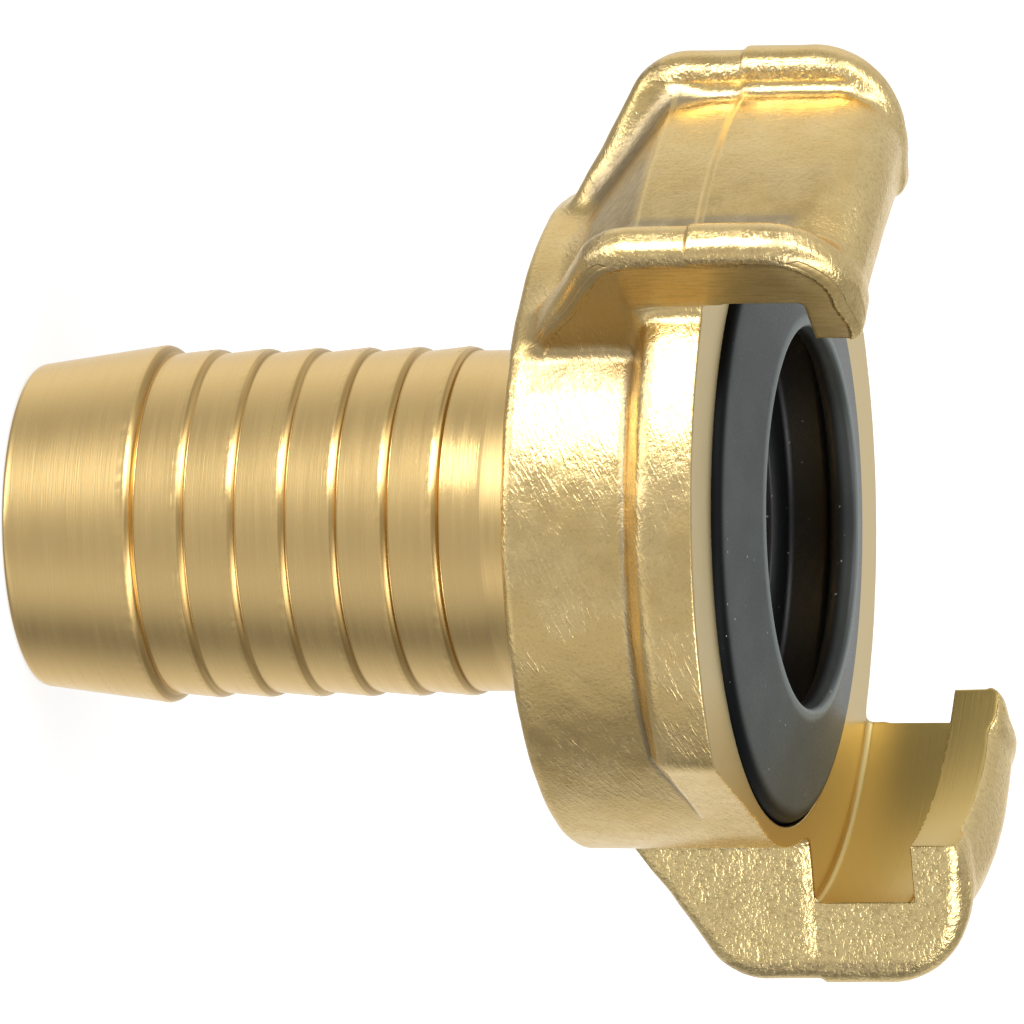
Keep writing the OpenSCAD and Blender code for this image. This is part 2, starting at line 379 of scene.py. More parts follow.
# Smooth shading from the field itself, crisp where a face lies beside a sharp edge
def shadeFromField(piece):
    mesh = piece.data
    count, loops = len(mesh.vertices), len(mesh.loops)
    points = np.empty(count * 3)
    mesh.vertices.foreach_get("co", points)
    points = points.reshape(-1, 3) / mm
    hollow = mesh.attributes.new("hollow", "FLOAT", "POINT")
    hollow.data.foreach_set("value", hollowness(points).astype(np.float32))
    corner = np.empty(loops, np.int32)
    mesh.loops.foreach_get("vertex_index", corner)
    faces = len(mesh.polygons)
    starts, totals = np.empty(faces, np.int32), np.empty(faces, np.int32)
    mesh.polygons.foreach_get("loop_start", starts)
    mesh.polygons.foreach_get("loop_total", totals)
    owner = np.repeat(np.arange(faces), totals)
    centres, flat = np.empty(faces * 3), np.empty(faces * 3)
    mesh.polygons.foreach_get("center", centres)
    mesh.polygons.foreach_get("normal", flat)
    centres, flat = centres.reshape(-1, 3) / mm, flat.reshape(-1, 3)
    own = fieldNormals(points)[corner]
    inward = points[corner] + field["inset"] * (centres[owner] - points[corner])
    beside = fieldNormals(inward)
    agree = (own * flat[owner]).sum(axis=1)
    normals = np.where(agree[:, None] > math.cos(math.radians(field["crease"])), own, beside)
    far = (normals * flat[owner]).sum(axis=1) < math.cos(math.radians(field["wild"]))
    x, y, z = centres[owner].T
    inTube = (np.hypot(x, y) < field["tubeRadius"]) & (z < field["tubeZ"])
    onTail = (z < forging["headBack"] - field["tailEdge"]) | inTube
    normals[far | onTail] = 0
    mesh.normals_split_custom_set(normals.tolist())
    print("corners shaded from the field:", int((~(far | onTail)).sum()), "of", loops)


# The turned hose tail

tail = dict(
    endRadius=9.55, endEdge=0.45, firstBarb=10.55, barb=10.27, root=10.02, firstZ=7.6, pitch=3.08, barbs=7,
    drop=0.6, neckStep=0.05, neckLength=3.5, neckCone=12, neckFillet=1.3, boreEdge=0.6, segments=300,
    burr=0.03, burrWidth=0.06, burrWaves=40, burrCounts=(20, 170),
    sleeve=(9.2, 34.9),     # the hidden part inside the head: radius and end
)


def makeTail():
    t = tail
    back = forging["headBack"]
    outer = [(t["endRadius"] - t["endEdge"], 0.0)]
    outer += arcPoints((t["endRadius"] - t["endEdge"], t["endEdge"]), t["endEdge"], -90, -5, 4)[1:]
    before = (t["endRadius"], t["endEdge"])
    for i in range(t["barbs"]):
        z = t["firstZ"] + i * t["pitch"]
        crest = t["firstBarb"] if i == 0 else t["barb"]
        for share in (0.02, 0.33, 0.66, 0.93):
            outer.append((before[0] + (crest - before[0]) * share, before[1] + (z - before[1]) * share))
        outer += [(crest - 0.006, z - 0.06), (crest, z)]
        fall = crest - t["root"]
        for turn in (math.pi / 2 * step / 7 for step in range(1, 8)):
            outer.append((crest - fall * (1 - math.cos(turn)), z + t["drop"] * math.sin(turn)))
        before = (t["root"], z + t["drop"])
    neckZ = back - t["neckLength"]
    neckRadius = t["root"] + t["neckStep"]
    cone = math.radians(t["neckCone"])
    filletZ = back - t["neckFillet"] * (1 - math.sin(cone))
    filletRadius = neckRadius + (filletZ - neckZ) * math.tan(cone)
    outer += [(t["root"], before[1] + 0.08), (t["root"] + 0.01, neckZ - 0.3)]
    outer += [(t["root"] + 0.02, neckZ - 0.06), (neckRadius, neckZ + 0.06)]
    centre = (filletRadius + t["neckFillet"] * math.cos(cone), back - t["neckFillet"])
    outer += arcPoints(centre, t["neckFillet"], 180 - t["neckCone"], 92, 8)
    sleeve, end = t["sleeve"]
    outer += [(filletRadius + t["neckFillet"], back + 0.25), (sleeve, back + 1.2), (sleeve, end)]
    bore = machining["boreRadius"]
    inner = [(bore + 0.06, end), (bore + 0.02, 34.0), (bore, 33.0)]
    inner += [(bore, z) for z in np.arange(30, 1, -3)]
    inner += [(bore, t["boreEdge"]), (bore + t["boreEdge"], 0.0)]
    crests = [t["firstZ"] + i * t["pitch"] for i in range(t["barbs"])]
    chance = np.random.default_rng(5)
    phases = chance.uniform(0, 2 * math.pi, (t["barbs"], t["burrWaves"]))
    counts = chance.integers(*t["burrCounts"], (t["barbs"], t["burrWaves"]))

    # Burrs left along the barbs' edges
    def burrs(angle, radius, height):
        out = np.zeros(np.broadcast_shapes(angle.shape, height.shape))
        for i, z in enumerate(crests):
            near = np.exp(-((height - z - 0.03) / t["burrWidth"]) ** 2)
            rough = np.sin(angle * counts[i] + phases[i]).sum(axis=1, keepdims=True) / t["burrWaves"] ** 0.5
            out += near * t["burr"] * np.clip(rough, -0.6, 1.2) * (radius > t["root"])
        return out

    return turnedRing("tailTube", (outer + inner)[::-1], t["segments"], burrs)


# Node helpers for the materials

def calc(tree, operation, a, b=None, c=None):
    node = tree.nodes.new("ShaderNodeMath")
    node.operation = operation
    for i, value in enumerate((a, b, c)):
        if value is None:
            continue
        if isinstance(value, (int, float)):
            node.inputs[i].default_value = value
        else:
            tree.links.new(value, node.inputs[i])
    return node.outputs[0]


def plus(tree, a, b):
    return calc(tree, "ADD", a, b)


def minus(tree, a, b):
    return calc(tree, "SUBTRACT", a, b)


def times(tree, a, b):
    return calc(tree, "MULTIPLY", a, b)


def timesPlus(tree, a, b, c):
    return calc(tree, "MULTIPLY_ADD", a, b, c)


def most(tree, a, b):
    return calc(tree, "MAXIMUM", a, b)


# Two values added, each with its own weight
def weighted(tree, a, weightA, b, weightB):
    return plus(tree, times(tree, a, weightA), times(tree, b, weightB))


def stepRange(tree, value, low, high, toLow=0.0, toHigh=1.0):
    node = tree.nodes.new("ShaderNodeMapRange")
    node.interpolation_type = "SMOOTHSTEP"
    tree.links.new(value, node.inputs["Value"])
    for name, number in (("From Min", low), ("From Max", high), ("To Min", toLow), ("To Max", toHigh)):
        node.inputs[name].default_value = number
    return node.outputs["Result"]


def fadeOut(tree, value, low, high):
    return stepRange(tree, value, low, high, 1.0, 0.0)


# One where the value lies between two limits, with soft sides
def within(tree, value, low, high, soft):
    return times(tree, stepRange(tree, value, low - soft, low), fadeOut(tree, value, high, high + soft))


def mixColour(tree, factor, a, b):
    node = tree.nodes.new("ShaderNodeMix")
    node.data_type = "RGBA"
    tree.links.new(factor, node.inputs[0])
    for socket, value in ((node.inputs[6], a), (node.inputs[7], b)):
        if isinstance(value, tuple):
            socket.default_value = (*value, 1)
        else:
            tree.links.new(value, socket)
    return node.outputs[2]


def mixValue(tree, factor, a, b):
    node = tree.nodes.new("ShaderNodeMix")
    for socket, value in zip(node.inputs[:4], (factor, None, a, b)):
        if value is None:
            continue
        if isinstance(value, (int, float)):
            socket.default_value = value
        else:
            tree.links.new(value, socket)
    return node.outputs[0]


def noise(tree, vector, scale, detail=2.0, rough=0.5):
    node = tree.nodes.new("ShaderNodeTexNoise")
    tree.links.new(vector, node.inputs["Vector"])
    node.inputs["Scale"].default_value = scale
    node.inputs["Detail"].default_value = detail
    node.inputs["Roughness"].default_value = rough
    return node.outputs["Fac"]


# Noise over three values, each with its own scale
def stretchedNoise(tree, values, scales, detail, rough):
    node = tree.nodes.new("ShaderNodeCombineXYZ")
    for socket, value, scale in zip(node.inputs, values, scales):
        tree.links.new(times(tree, value, scale), socket)
    return noise(tree, node.outputs[0], 1.0, detail, rough)


def bump(tree, height, distance, strength):
    node = tree.nodes.new("ShaderNodeBump")
    node.inputs["Distance"].default_value = distance
    node.inputs["Strength"].default_value = strength
    tree.links.new(height, node.inputs["Height"])
    return node.outputs[0]


# Position in millimetres, its parts, the distance from the axis and the angle round it
def placeInMillimetres(tree):
    place = tree.nodes.new("ShaderNodeTexCoord")
    scale = tree.nodes.new("ShaderNodeVectorMath")
    scale.operation = "SCALE"
    scale.inputs["Scale"].default_value = 1 / mm
    tree.links.new(place.outputs["Object"], scale.inputs[0])
    split = tree.nodes.new("ShaderNodeSeparateXYZ")
    tree.links.new(scale.outputs[0], split.inputs[0])
    x, y, z = split.outputs
    radius = calc(tree, "SQRT", plus(tree, times(tree, x, x), times(tree, y, y)))
    angle = calc(tree, "ARCTAN2", y, x)
    return scale.outputs[0], x, y, z, radius, angle


# Brass

brass = dict(
    forged=(0.86, 0.625, 0.26), forgedPale=(0.95, 0.74, 0.38), forgedDark=(0.46, 0.31, 0.11),
    # The first colour on the next line is a painted sheen for the rough sides, also used for painted
    # highlight lines
    paintedSheen=(1.0, 0.78, 0.37), turned=(0.88, 0.60, 0.235), turnedPale=(0.92, 0.67, 0.30),
    machined=(0.80, 0.64, 0.32), slotted=(0.74, 0.545, 0.19), shadeBrown=(0.42, 0.26, 0.08),
    # The first two colours on the next line darken and dull hollows and flanks, as soot and as painted
    # shade
    sootAndShade=(0.35, 0.265, 0.145), dullAndShade=(0.56, 0.46, 0.29), edgeTintAndSeamHighlight=(1.0, 0.95, 0.84),
    coat=0.15, coatRoughness=0.2,
    # depths of the marks
    grain=0.022, coarse=0.075, coarseBase=0.018, streak=0.014, stroke=0.016, wave=0.026, seam=0.03,
    lathe=0.007, brushed=0.010,
)
# Where the marks lie. A pair gives the two limits of a mark, or those between which it fades.
marks = dict(
    lathedEdge=(0.03, 0.08), turnedEdge=(0.03, 0.1), boredEdge=(0.3, 0.35), slottedZ=(0.08, 0.25),
    brushedEdge=(0.1, 0.06, 0.05), brushedFrom=19.6,
    footLine=(0.3, 0.02), footSoft=0.16, neckLine=0.35, neckSoft=0.25,
    roughSide=(0.25, 0.3), roughFrom=(19.4, 19.9),
    frontZ=(1.0, 0.2), frontRadius=(0.1, 0.2), frontShare=0.7,
    recessSide=0.6, recessFrom=(20.0, 21.0), rearTop=(0.9, 0.1),
    flank=(1.5, 0.75), flankSoft=0.25, flankSide=0.3, flankEnd=(50.5, 51.8),
    seam=(0.03, 0.05), seamSoft=0.07, seamReach=10.5, seamLow=3.6, seamHigh=0.25, seamRoot=(0.02, 0.1),
    tailSeam=0.04, tailSeamLength=1.8, flatInset=0.06,
    crevice=(0.3, 0.9), creviceRadius=(21.5, 23.0),
    floorEdge=(1.5, 0.5), floorSoft=0.6, floorRise=(0.1, 0.9), floorEnd=(50.0, 51.3),
    rootZ=(40.1, 41.1), rootRadius=(0.1, 0.7), rootSoft=0.3, rootHollow=(0.1, 0.4),
    cornerWidth=2.4, cornerZ=(34.5, 40.6), cornerSoft=(0.6, 0.8), cornerFrom=(17.0, 18.0),
    # painted highlight lines where the recess turns, at the face plane and at its back
    highlightFace=(0.3, 0.1), highlightBack=0.1, highlightSoft=(0.2, 0.15), highlightFrom=(25.2, 25.6),
)
# Scales along and across each grained pattern, then its detail and roughness
patterns = dict(
    fineRings=((9.0, 1.2, 9.0), 3.0, 0.6), coarseRings=((2.4, 1.2, 2.4), 2.0, 0.5),
    dashes=((12.0, 9.0, 12.0), 2.0, 0.5), strokes=((0.9, 4.6, 1.5), 2.0, 0.55),
    streaks=((4.5, 1.5, 0.8), 3.0, 0.6), brushing=((7.0, 2.0, 0.6), 3.0, 0.6),
    clouds=(0.24, 3.0, 0.55), waves=(0.9, 2.0, 0.5), grain=(5.0, 3.0, 0.6), coarse=(3.2, 2.0, 0.6),
    slant=(0.9, 0.44),
)


def makeBrass():
    material = bpy.data.materials.new("forgedAndTurnedBrass")
    material.use_nodes = True
    tree = material.node_tree
    shader = tree.nodes["Principled BSDF"]
    place, x, y, z, radius, angle = placeInMillimetres(tree)
    b, f, m, t, k, p = brass, forging, machining, tail, marks, patterns
    half = f["ribWidth"] / 2
    claw, faceZ = f["clawRadius"], f["faceZ"]

    # Where the lathe has been: the front face, slots and lips, the tail, and the bores
    aboveFace = minus(tree, faceZ, z)
    slot = most(tree, aboveFace, minus(tree, z, m["lipZ"]))
    slot = most(tree, minus(tree, radius, m["slotRadius"]), slot)
    inside = most(tree, minus(tree, radius, m["lipRadius"]), aboveFace)
    machined = fadeOut(tree, calc(tree, "MINIMUM", slot, inside), *k["lathedEdge"])
    turned = fadeOut(tree, z, *(f["headBack"] + edge for edge in k["turnedEdge"]))
    bored = fadeOut(tree, radius, *(m["grooveRadius"] + edge for edge in k["boredEdge"]))
    lathe = most(tree, most(tree, machined, turned), bored)
    forgedOnly = minus(tree, 1.0, lathe)

    # The trimmed side of each claw, brushed along the axis
    sign = calc(tree, "SIGN", x)
    cos, sin = math.cos(math.radians(f["ribAngle"])), math.sin(math.radians(f["ribAngle"]))
    besideRib = times(tree, sign, weighted(tree, y, cos, x, -sin))
    alongRib = times(tree, sign, weighted(tree, x, cos, y, sin))
    low = half - f["sideStep"]
    below, above, soft = k["brushedEdge"]
    brushed = times(tree, within(tree, besideRib, low - below, low + above, soft),
                    within(tree, alongRib, k["brushedFrom"], claw - f["ribRound"] - 0.1, 0.1))
    brushed = times(tree, brushed, forgedOnly)

    # Lathe lines: rings that hardly change round the axis
    fineRings = stretchedNoise(tree, (radius, angle, z), *p["fineRings"])
    coarseRings = stretchedNoise(tree, (radius, angle, z), *p["coarseRings"])
    dashes = stretchedNoise(tree, (radius, angle, z), *p["dashes"])

    # Painted shade: brown lines at the foot of each barb and round the neck by the head
    step = calc(tree, "FRACT", calc(tree, "DIVIDE", minus(tree, z, t["firstZ"]), t["pitch"]))
    start, end = k["footLine"]
    foot = within(tree, times(tree, step, t["pitch"]), start, t["drop"] - end, k["footSoft"])
    lastZ = t["firstZ"] + (t["barbs"] - 0.5) * t["pitch"]
    foot = times(tree, foot, within(tree, z, t["firstZ"], lastZ, 0.1))
    neckRing = within(tree, z, f["headBack"] - k["neckLine"], f["headBack"], k["neckSoft"])
    foot = times(tree, most(tree, foot, neckRing), stepRange(tree, coarseRings, 0.3, 0.6, 0.55, 1.0))

    # The other side of each claw, left rough and given a pale painted sheen, and the recess between the
    # ribs
    besideOther = times(tree, sign, weighted(tree, y, -cos, x, -sin))
    alongOther = times(tree, sign, weighted(tree, x, cos, y, -sin))
    start, end = k["roughSide"]
    rough = times(tree, within(tree, besideOther, half - start, half + end, 0.3),
                  stepRange(tree, alongOther, *k["roughFrom"]))
    # The claws' fronts share the rough side's pits and painted sheen
    front = times(tree, stepRange(tree, z, *(f["innerFrontZ"] - down for down in k["frontZ"])),
                  stepRange(tree, radius, m["lipRadius"] - k["frontRadius"][0],
                            m["lipRadius"] + k["frontRadius"][1]))
    rough = most(tree, rough, times(tree, front, k["frontShare"]))
    recess = times(tree, fadeOut(tree, besideRib, -half - k["recessSide"], -half),
                   fadeOut(tree, besideOther, -half - k["recessSide"], -half))
    recess = times(tree, recess, stepRange(tree, radius, *k["recessFrom"]))
    below, above = k["rearTop"]
    rearSlope = times(tree, recess, fadeOut(tree, z, f["recessBackZ"] - below, f["recessBackZ"] + above))

    # The ribs' flanks just below the crest: rough, and painted a darker brown for the shade there
    low, high = (claw - depth for depth in k["flank"])
    side = k["flankSide"]
    flank = most(tree, within(tree, alongRib, low, high, k["flankSoft"]),
                 within(tree, alongOther, low, high, k["flankSoft"]))
    onRibs = most(tree, within(tree, besideRib, -half - side, half + side, 0.1),
                  within(tree, besideOther, -half - side, half + side, 0.1))
    flank = times(tree, flank, times(tree, onRibs, fadeOut(tree, z, *k["flankEnd"])))

    # Thin seam along the back edge of the flat run-out, raised a little and painted with a pale highlight
    runOut = math.radians(f["flangeEnd"]) + math.acos(f["headRadius"] / f["flangeRadius"])
    flat = weighted(tree, x, math.cos(runOut), y, math.sin(runOut))
    along = times(tree, weighted(tree, y, math.cos(runOut), x, -math.sin(runOut)), calc(tree, "SIGN", flat))
    flat = minus(tree, calc(tree, "ABSOLUTE", flat), f["headRadius"] - k["flatInset"])
    lead = minus(tree, timesPlus(tree, flat, f["leadFall"], f["leadZ"]), z)
    below, above = k["seam"]
    seam = times(tree, within(tree, lead, -below, above, k["seamSoft"]),
                 within(tree, along, -k["seamReach"], -f["flatTail"], 0.3))
    low, high = -f["flatTail"] - k["tailSeam"], -f["flatTail"] + k["tailSeam"]
    tailSeam = within(tree, along, low, high, k["seamSoft"])
    tailSeam = times(tree, tailSeam, within(tree, lead, -k["tailSeamLength"], 0.0, 0.1))
    seam = times(tree, most(tree, seam, tailSeam), within(tree, flat, -k["seamLow"], k["seamHigh"], 0.1))
    low, high = (f["headRadius"] + rise for rise in k["seamRoot"])
    seam = times(tree, seam, stepRange(tree, radius, low, high, 0.0, 0.8))

    # Forged skin: waves, grain and slanting strokes
    clouds, waves = noise(tree, place, *p["clouds"]), noise(tree, place, *p["waves"])
    grain, coarse = noise(tree, place, *p["grain"]), noise(tree, place, *p["coarse"])
    arc = times(tree, angle, f["headRadius"])
    steep, shallow = p["slant"]
    slantA = weighted(tree, arc, steep, z, shallow)
    slantB = weighted(tree, z, steep, arc, -shallow)
    strokes = stepRange(tree, stretchedNoise(tree, (slantA, slantB, radius), *p["strokes"]), 0.48, 0.70)
    strokes = times(tree, strokes, stepRange(tree, clouds, 0.38, 0.52))
    streaks = stretchedNoise(tree, (arc, radius, z), *p["streaks"])
    ragged = most(tree, rough, times(tree, flank, 0.8))
    skin = times(tree, waves, b["wave"])
    skin = timesPlus(tree, grain, b["grain"], skin)
    skin = plus(tree, skin, times(tree, coarse, timesPlus(tree, ragged, b["coarse"], b["coarseBase"])))
    skin = timesPlus(tree, strokes, timesPlus(tree, recess, -b["stroke"], b["stroke"]), skin)
    skin = timesPlus(tree, streaks, times(tree, recess, b["streak"]), skin)
    skin = timesPlus(tree, seam, b["seam"], skin)
    brushing = stretchedNoise(tree, (alongRib, besideRib, z), *p["brushing"])

    # Soot and painted shade: darker, duller metal in the hollows and on the ribs' flanks
    attribute = tree.nodes.new("ShaderNodeAttribute")
    attribute.attribute_name = "hollow"
    hollow = attribute.outputs["Fac"]
    crevice = stepRange(tree, hollow, *k["crevice"])
    crevice = times(tree, crevice, stepRange(tree, radius, *k["creviceRadius"], 0.9, 0.6))
    sootAndShade = most(tree, times(tree, flank, stepRange(tree, grain, 0.35, 0.6, 0.75, 0.3)), crevice)
    sootAndShade = most(tree, sootAndShade, times(tree, rearSlope, stepRange(tree, streaks, 0.3, 0.65, 0.8, 0.45)))
    corner = times(tree, within(tree, besideRib, half, half + k["cornerWidth"], k["cornerSoft"][0]),
                   within(tree, z, *k["cornerZ"], k["cornerSoft"][1]))
    sootAndShade = most(tree, sootAndShade, times(tree, corner, stepRange(tree, alongRib, *k["cornerFrom"], 0.0, 0.6)))
    # The ribs' foot on the recess floor: a duller colour as painted shade, where light off the ribs would
    # brighten the floor
    low, high = (-half - depth for depth in k["floorEdge"])
    floorEdge = within(tree, most(tree, besideRib, besideOther), low, high, k["floorSoft"])
    low, high = (f["recessFloor"] + rise for rise in k["floorRise"])
    floorEdge = times(tree, floorEdge, stepRange(tree, radius, low, high, 0.85, 0.0))
    floorEdge = times(tree, floorEdge, fadeOut(tree, z, *k["floorEnd"]))
    # The flange's root: dull colour in the crevice, as grime and as painted shade
    low, high = f["headRadius"] - k["rootRadius"][0], f["headRadius"] + k["rootRadius"][1]
    flangeRoot = times(tree, within(tree, z, *k["rootZ"], k["rootSoft"]),
                       within(tree, radius, low, high, k["rootSoft"]))
    flangeRoot = times(tree, flangeRoot, stepRange(tree, hollow, *k["rootHollow"], 0.0, 0.8))
    dullAndShade = most(tree, flangeRoot, times(tree, recess, floorEdge))

    # Painted highlights: pale lines where the recess turns
    below, above = k["highlightFace"]
    creaseHighlight = most(tree, within(tree, z, faceZ - below, faceZ + above, k["highlightSoft"][0]),
                within(tree, z, f["recessBackZ"] - k["highlightBack"], f["recessBackZ"] + k["highlightBack"],
                       k["highlightSoft"][1]))
    creaseHighlight = times(tree, times(tree, creaseHighlight, recess), stepRange(tree, radius, *k["highlightFrom"], 0.0, 0.4))

    forged = mixColour(tree, stepRange(tree, clouds, 0.36, 0.64, 0.0, 0.5), b["forged"], b["forgedPale"])
    patches = times(tree, brushed, stepRange(tree, brushing, 0.3, 0.6, 0.45, 0.12))
    pits = times(tree, rough, stepRange(tree, coarse, 0.3, 0.55, 0.4, 0.0))
    # Colours laid over the forged skin. Some are painted light: a pale sheen on the rough sides and fronts,
    # pale highlights on the recess's turns and along the seam, and painted shade in the soot and dull
    # colours
    for share, colour in (
            (stepRange(tree, grain, 0.3, 0.5, 0.22, 0.0), "forgedDark"),
            (times(tree, rough, 0.9), "paintedSheen"), (pits, "forgedDark"), (dullAndShade, "dullAndShade"),
            (sootAndShade, "sootAndShade"), (creaseHighlight, "paintedSheen"), (seam, "edgeTintAndSeamHighlight"), (patches, "forgedDark")):
        forged = mixColour(tree, share, forged, b[colour])
    turnedColour = mixColour(tree, fineRings, b["turned"], b["turnedPale"])
    # painted shade at the barbs' feet and at the neck
    turnedColour = mixColour(tree, times(tree, foot, 0.8), turnedColour, b["shadeBrown"])
    low, high = (faceZ + rise for rise in k["slottedZ"])
    machinedColour = mixColour(tree, stepRange(tree, z, low, high), b["machined"], b["slotted"])
    latheColour = mixColour(tree, machined, turnedColour, machinedColour)
    tree.links.new(mixColour(tree, lathe, forged, latheColour), shader.inputs["Base Color"])

    forgedRough = stepRange(tree, waves, 0.3, 0.7, 0.18, 0.28)
    for share, roughness in ((sootAndShade, 0.4), (creaseHighlight, 0.5), (brushed, 0.34)):
        forgedRough = mixValue(tree, share, forgedRough, roughness)
    latheRough = stepRange(tree, coarseRings, 0.35, 0.65, 0.22, 0.28)
    latheRough = mixValue(tree, machined, latheRough, 0.3)
    tree.links.new(mixValue(tree, lathe, forgedRough, latheRough), shader.inputs["Roughness"])

    forgedHeight = mixValue(tree, brushed, skin, times(tree, brushing, b["brushed"]))
    rings = timesPlus(tree, dashes, 0.5, fineRings)
    latheHeight = times(tree, times(tree, rings, b["lathe"]), lathe)
    height = plus(tree, times(tree, forgedHeight, forgedOnly), latheHeight)
    tree.links.new(bump(tree, height, mm, 1.0), shader.inputs["Normal"])

    shader.inputs["Metallic"].default_value = 1.0
    shader.inputs["Specular Tint"].default_value = (*b["edgeTintAndSeamHighlight"], 1)
    shader.inputs["Coat Weight"].default_value = b["coat"]
    shader.inputs["Coat Roughness"].default_value = b["coatRoughness"]
    return material


# The rubber seal

seal = dict(
    outer=17.9, spread=0.3, bore=11.0, crestRadius=11.5, crestRound=0.35, edge=0.8, shoulderZ=44.78,
    hollow=2.0, wall=1.4, foot=1.5, sag=0.06, segments=288,
    # the pale bloom, the dark rim painted as shade where the seal meets the brass, what lies in shadow, the
    # pale crest painted as a highlight, and the dark bore painted as shade
    bloom=1.18, rim=(1.1, 0.3), gloss=(1.0, 0.3), shadowZ=(44.5, 45.0), crestBand=(0.12, 0.02), crestPale=3,
    boreBand=(0.1, 0.02),
    grey=(0.023, 0.027, 0.0255), dark=(0.002, 0.0024, 0.0026), dust=(0.16, 0.165, 0.165),
)


def makeSeal():
    s = seal
    footZ = sealLow[2]
    crestZ = sealHigh[2]
    hollowZ = crestZ - s["wall"]
    outline = [(s["bore"] + 0.15, footZ), (s["outer"] + s["spread"] - 0.15, footZ),
               (s["outer"] + s["spread"], footZ + 0.15), (s["outer"], s["shoulderZ"])]
    outline += arcPoints((s["outer"] - s["edge"], s["shoulderZ"]), s["edge"], 8, 78, 9)
    top = (s["crestRadius"], crestZ - s["crestRound"])
    start, end = outline[-1], arcPoints(top, s["crestRound"], 75, 75, 0)[0]
    for share in (0.2, 0.4, 0.6, 0.8):
        sag = s["sag"] * math.sin(math.pi * share)
        along = [a + (b - a) * share for a, b in zip(start, end)]
        outline.append((along[0], along[1] - sag))
    outline += arcPoints(top, s["crestRound"], 75, 180, 8)
    outline += [(s["bore"] + 0.03, crestZ - 0.9), (s["bore"], hollowZ + 0.12), (s["bore"] + 0.06, hollowZ)]
    deep = s["bore"] + s["hollow"]
    outline += arcPoints((deep - 0.5, hollowZ - 1.1), 0.5, 70, 0, 4)
    outline += arcPoints((deep - 0.5, footZ + s["foot"] + 0.9), 0.5, 0, -70, 4)
    outline += [(s["bore"] + 0.06, footZ + s["foot"]), (s["bore"], footZ + s["foot"] - 0.12)]
    outline.append((s["bore"], footZ + 0.15))
    return turnedRing("sealRing", outline[::-1], s["segments"])


def makeRubber():
    material = bpy.data.materials.new("mouldedRubber")
    material.use_nodes = True
    tree = material.node_tree
    shader = tree.nodes["Principled BSDF"]
    place, x, y, z, radius, angle = placeInMillimetres(tree)
    bloom = noise(tree, place, 0.35, 3.0, 0.55)
    grain = noise(tree, place, 7.0, 3.0, 0.6)
    dust = stepRange(tree, noise(tree, place, 3.1, 1.0, 0.5), 0.77, 0.8)
    s = seal
    pale = tuple(s["bloom"] * c for c in s["grey"])
    colour = mixColour(tree, stepRange(tree, bloom, 0.35, 0.65), s["grey"], pale)
    # Painted shade: the outer rim darkened where it meets the brass
    low, high = (s["outer"] - inset for inset in s["rim"])
    colour = mixColour(tree, stepRange(tree, radius, low, high), colour, s["dark"])
    colour = mixColour(tree, fadeOut(tree, z, *s["shadowZ"]), colour, s["dark"])
    # Painted highlight: a paler band on the crest
    crest = stepRange(tree, z, *(sealHigh[2] - depth for depth in s["crestBand"]))
    colour = mixColour(tree, crest, colour, tuple(s["crestPale"] * c for c in s["grey"]))
    low, high = (s["outer"] - inset for inset in s["gloss"])
    tree.links.new(stepRange(tree, radius, low, high, 0.45, 0.08), shader.inputs["Specular IOR Level"])
    # Painted shade: the bore darkened
    low, high = (s["bore"] + rise for rise in s["boreBand"])
    colour = mixColour(tree, stepRange(tree, radius, low, high), colour, s["dark"])
    tree.links.new(mixColour(tree, dust, colour, seal["dust"]), shader.inputs["Base Color"])
    tree.links.new(stepRange(tree, grain, 0.3, 0.7, 0.36, 0.46), shader.inputs["Roughness"])
    tree.links.new(bump(tree, grain, 0.02 * mm, 0.5), shader.inputs["Normal"])
    return material


# Build the two pieces

body = makeHead()
tube = makeTail()
join = body.modifiers.new("join", "BOOLEAN")
join.operation = "UNION"
join.solver = "MANIFOLD"
join.object = tube
applyModifiers(body)
bpy.data.objects.remove(tube)
print("body triangles:", sum(len(p.vertices) - 2 for p in body.data.polygons))
body.data.materials.clear()
body.data.materials.append(makeBrass())
body.data.polygons.foreach_set("material_index", [0] * len(body.data.polygons))
body.data.polygons.foreach_set("use_smooth", [True] * len(body.data.polygons))
shadeFromField(body)
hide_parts("coupling_body")
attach(body, "root")

ring = makeSeal()
ring.data.materials.append(makeRubber())
ring.data.polygons.foreach_set("use_smooth", [True] * len(ring.data.polygons))
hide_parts("seal_ring")
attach(ring, "root")
print("seal triangles:", 2 * len(ring.data.polygons))


# Floor, light and camera

studio = dict(
    viewAngle=52.9,        # where the camera stands round the axis
    elevation=16.2,
    roll=-0.55,
    distance=1000,
    frame=1024,
    sensor=36,
    pixel=0.0592,          # millimetres of one pixel at the tail's end face
    tailPixel=(45.6, 524.9),
    # brightness round the axis, counted from the camera: (degrees, value)
    level=((-180, 0.98), (-150, 0.70), (-124, 0.98), (-92, 0.50), (-72, 0.42), (-56, 0.50),
           (-36, 0.76), (-18, 0.60), (0, 0.50), (20, 0.46), (42, 0.62), (64, 0.46), (84, 0.12),
           (104, 0.40), (124, 0.62), (150, 0.85), (180, 0.98)),
    # the same for what lies well ahead of the claws, and well behind the tail
    high=((-180, 0.45), (-120, 0.65), (-80, 0.6), (-62, 0.9), (-48, 7.0), (-34, 0.7), (0, 0.32),
          (28, 0.55), (44, 7.0), (60, 0.7), (90, 0.22), (130, 0.35), (180, 0.45)),
    low=((-180, 0.35), (-100, 0.35), (-66, 0.7), (-40, 4.0), (-16, 0.9), (0, 0.42), (26, 0.45),
         (46, 1.1), (64, 0.5), (90, 0.25), (140, 0.35), (180, 0.35)),
    highFrom=(0.06, 0.5), lowFrom=(-0.46, -0.75), background=0.95,
    floorReach=3000, floorGrey=0.25, floorGlow=0.74,
)


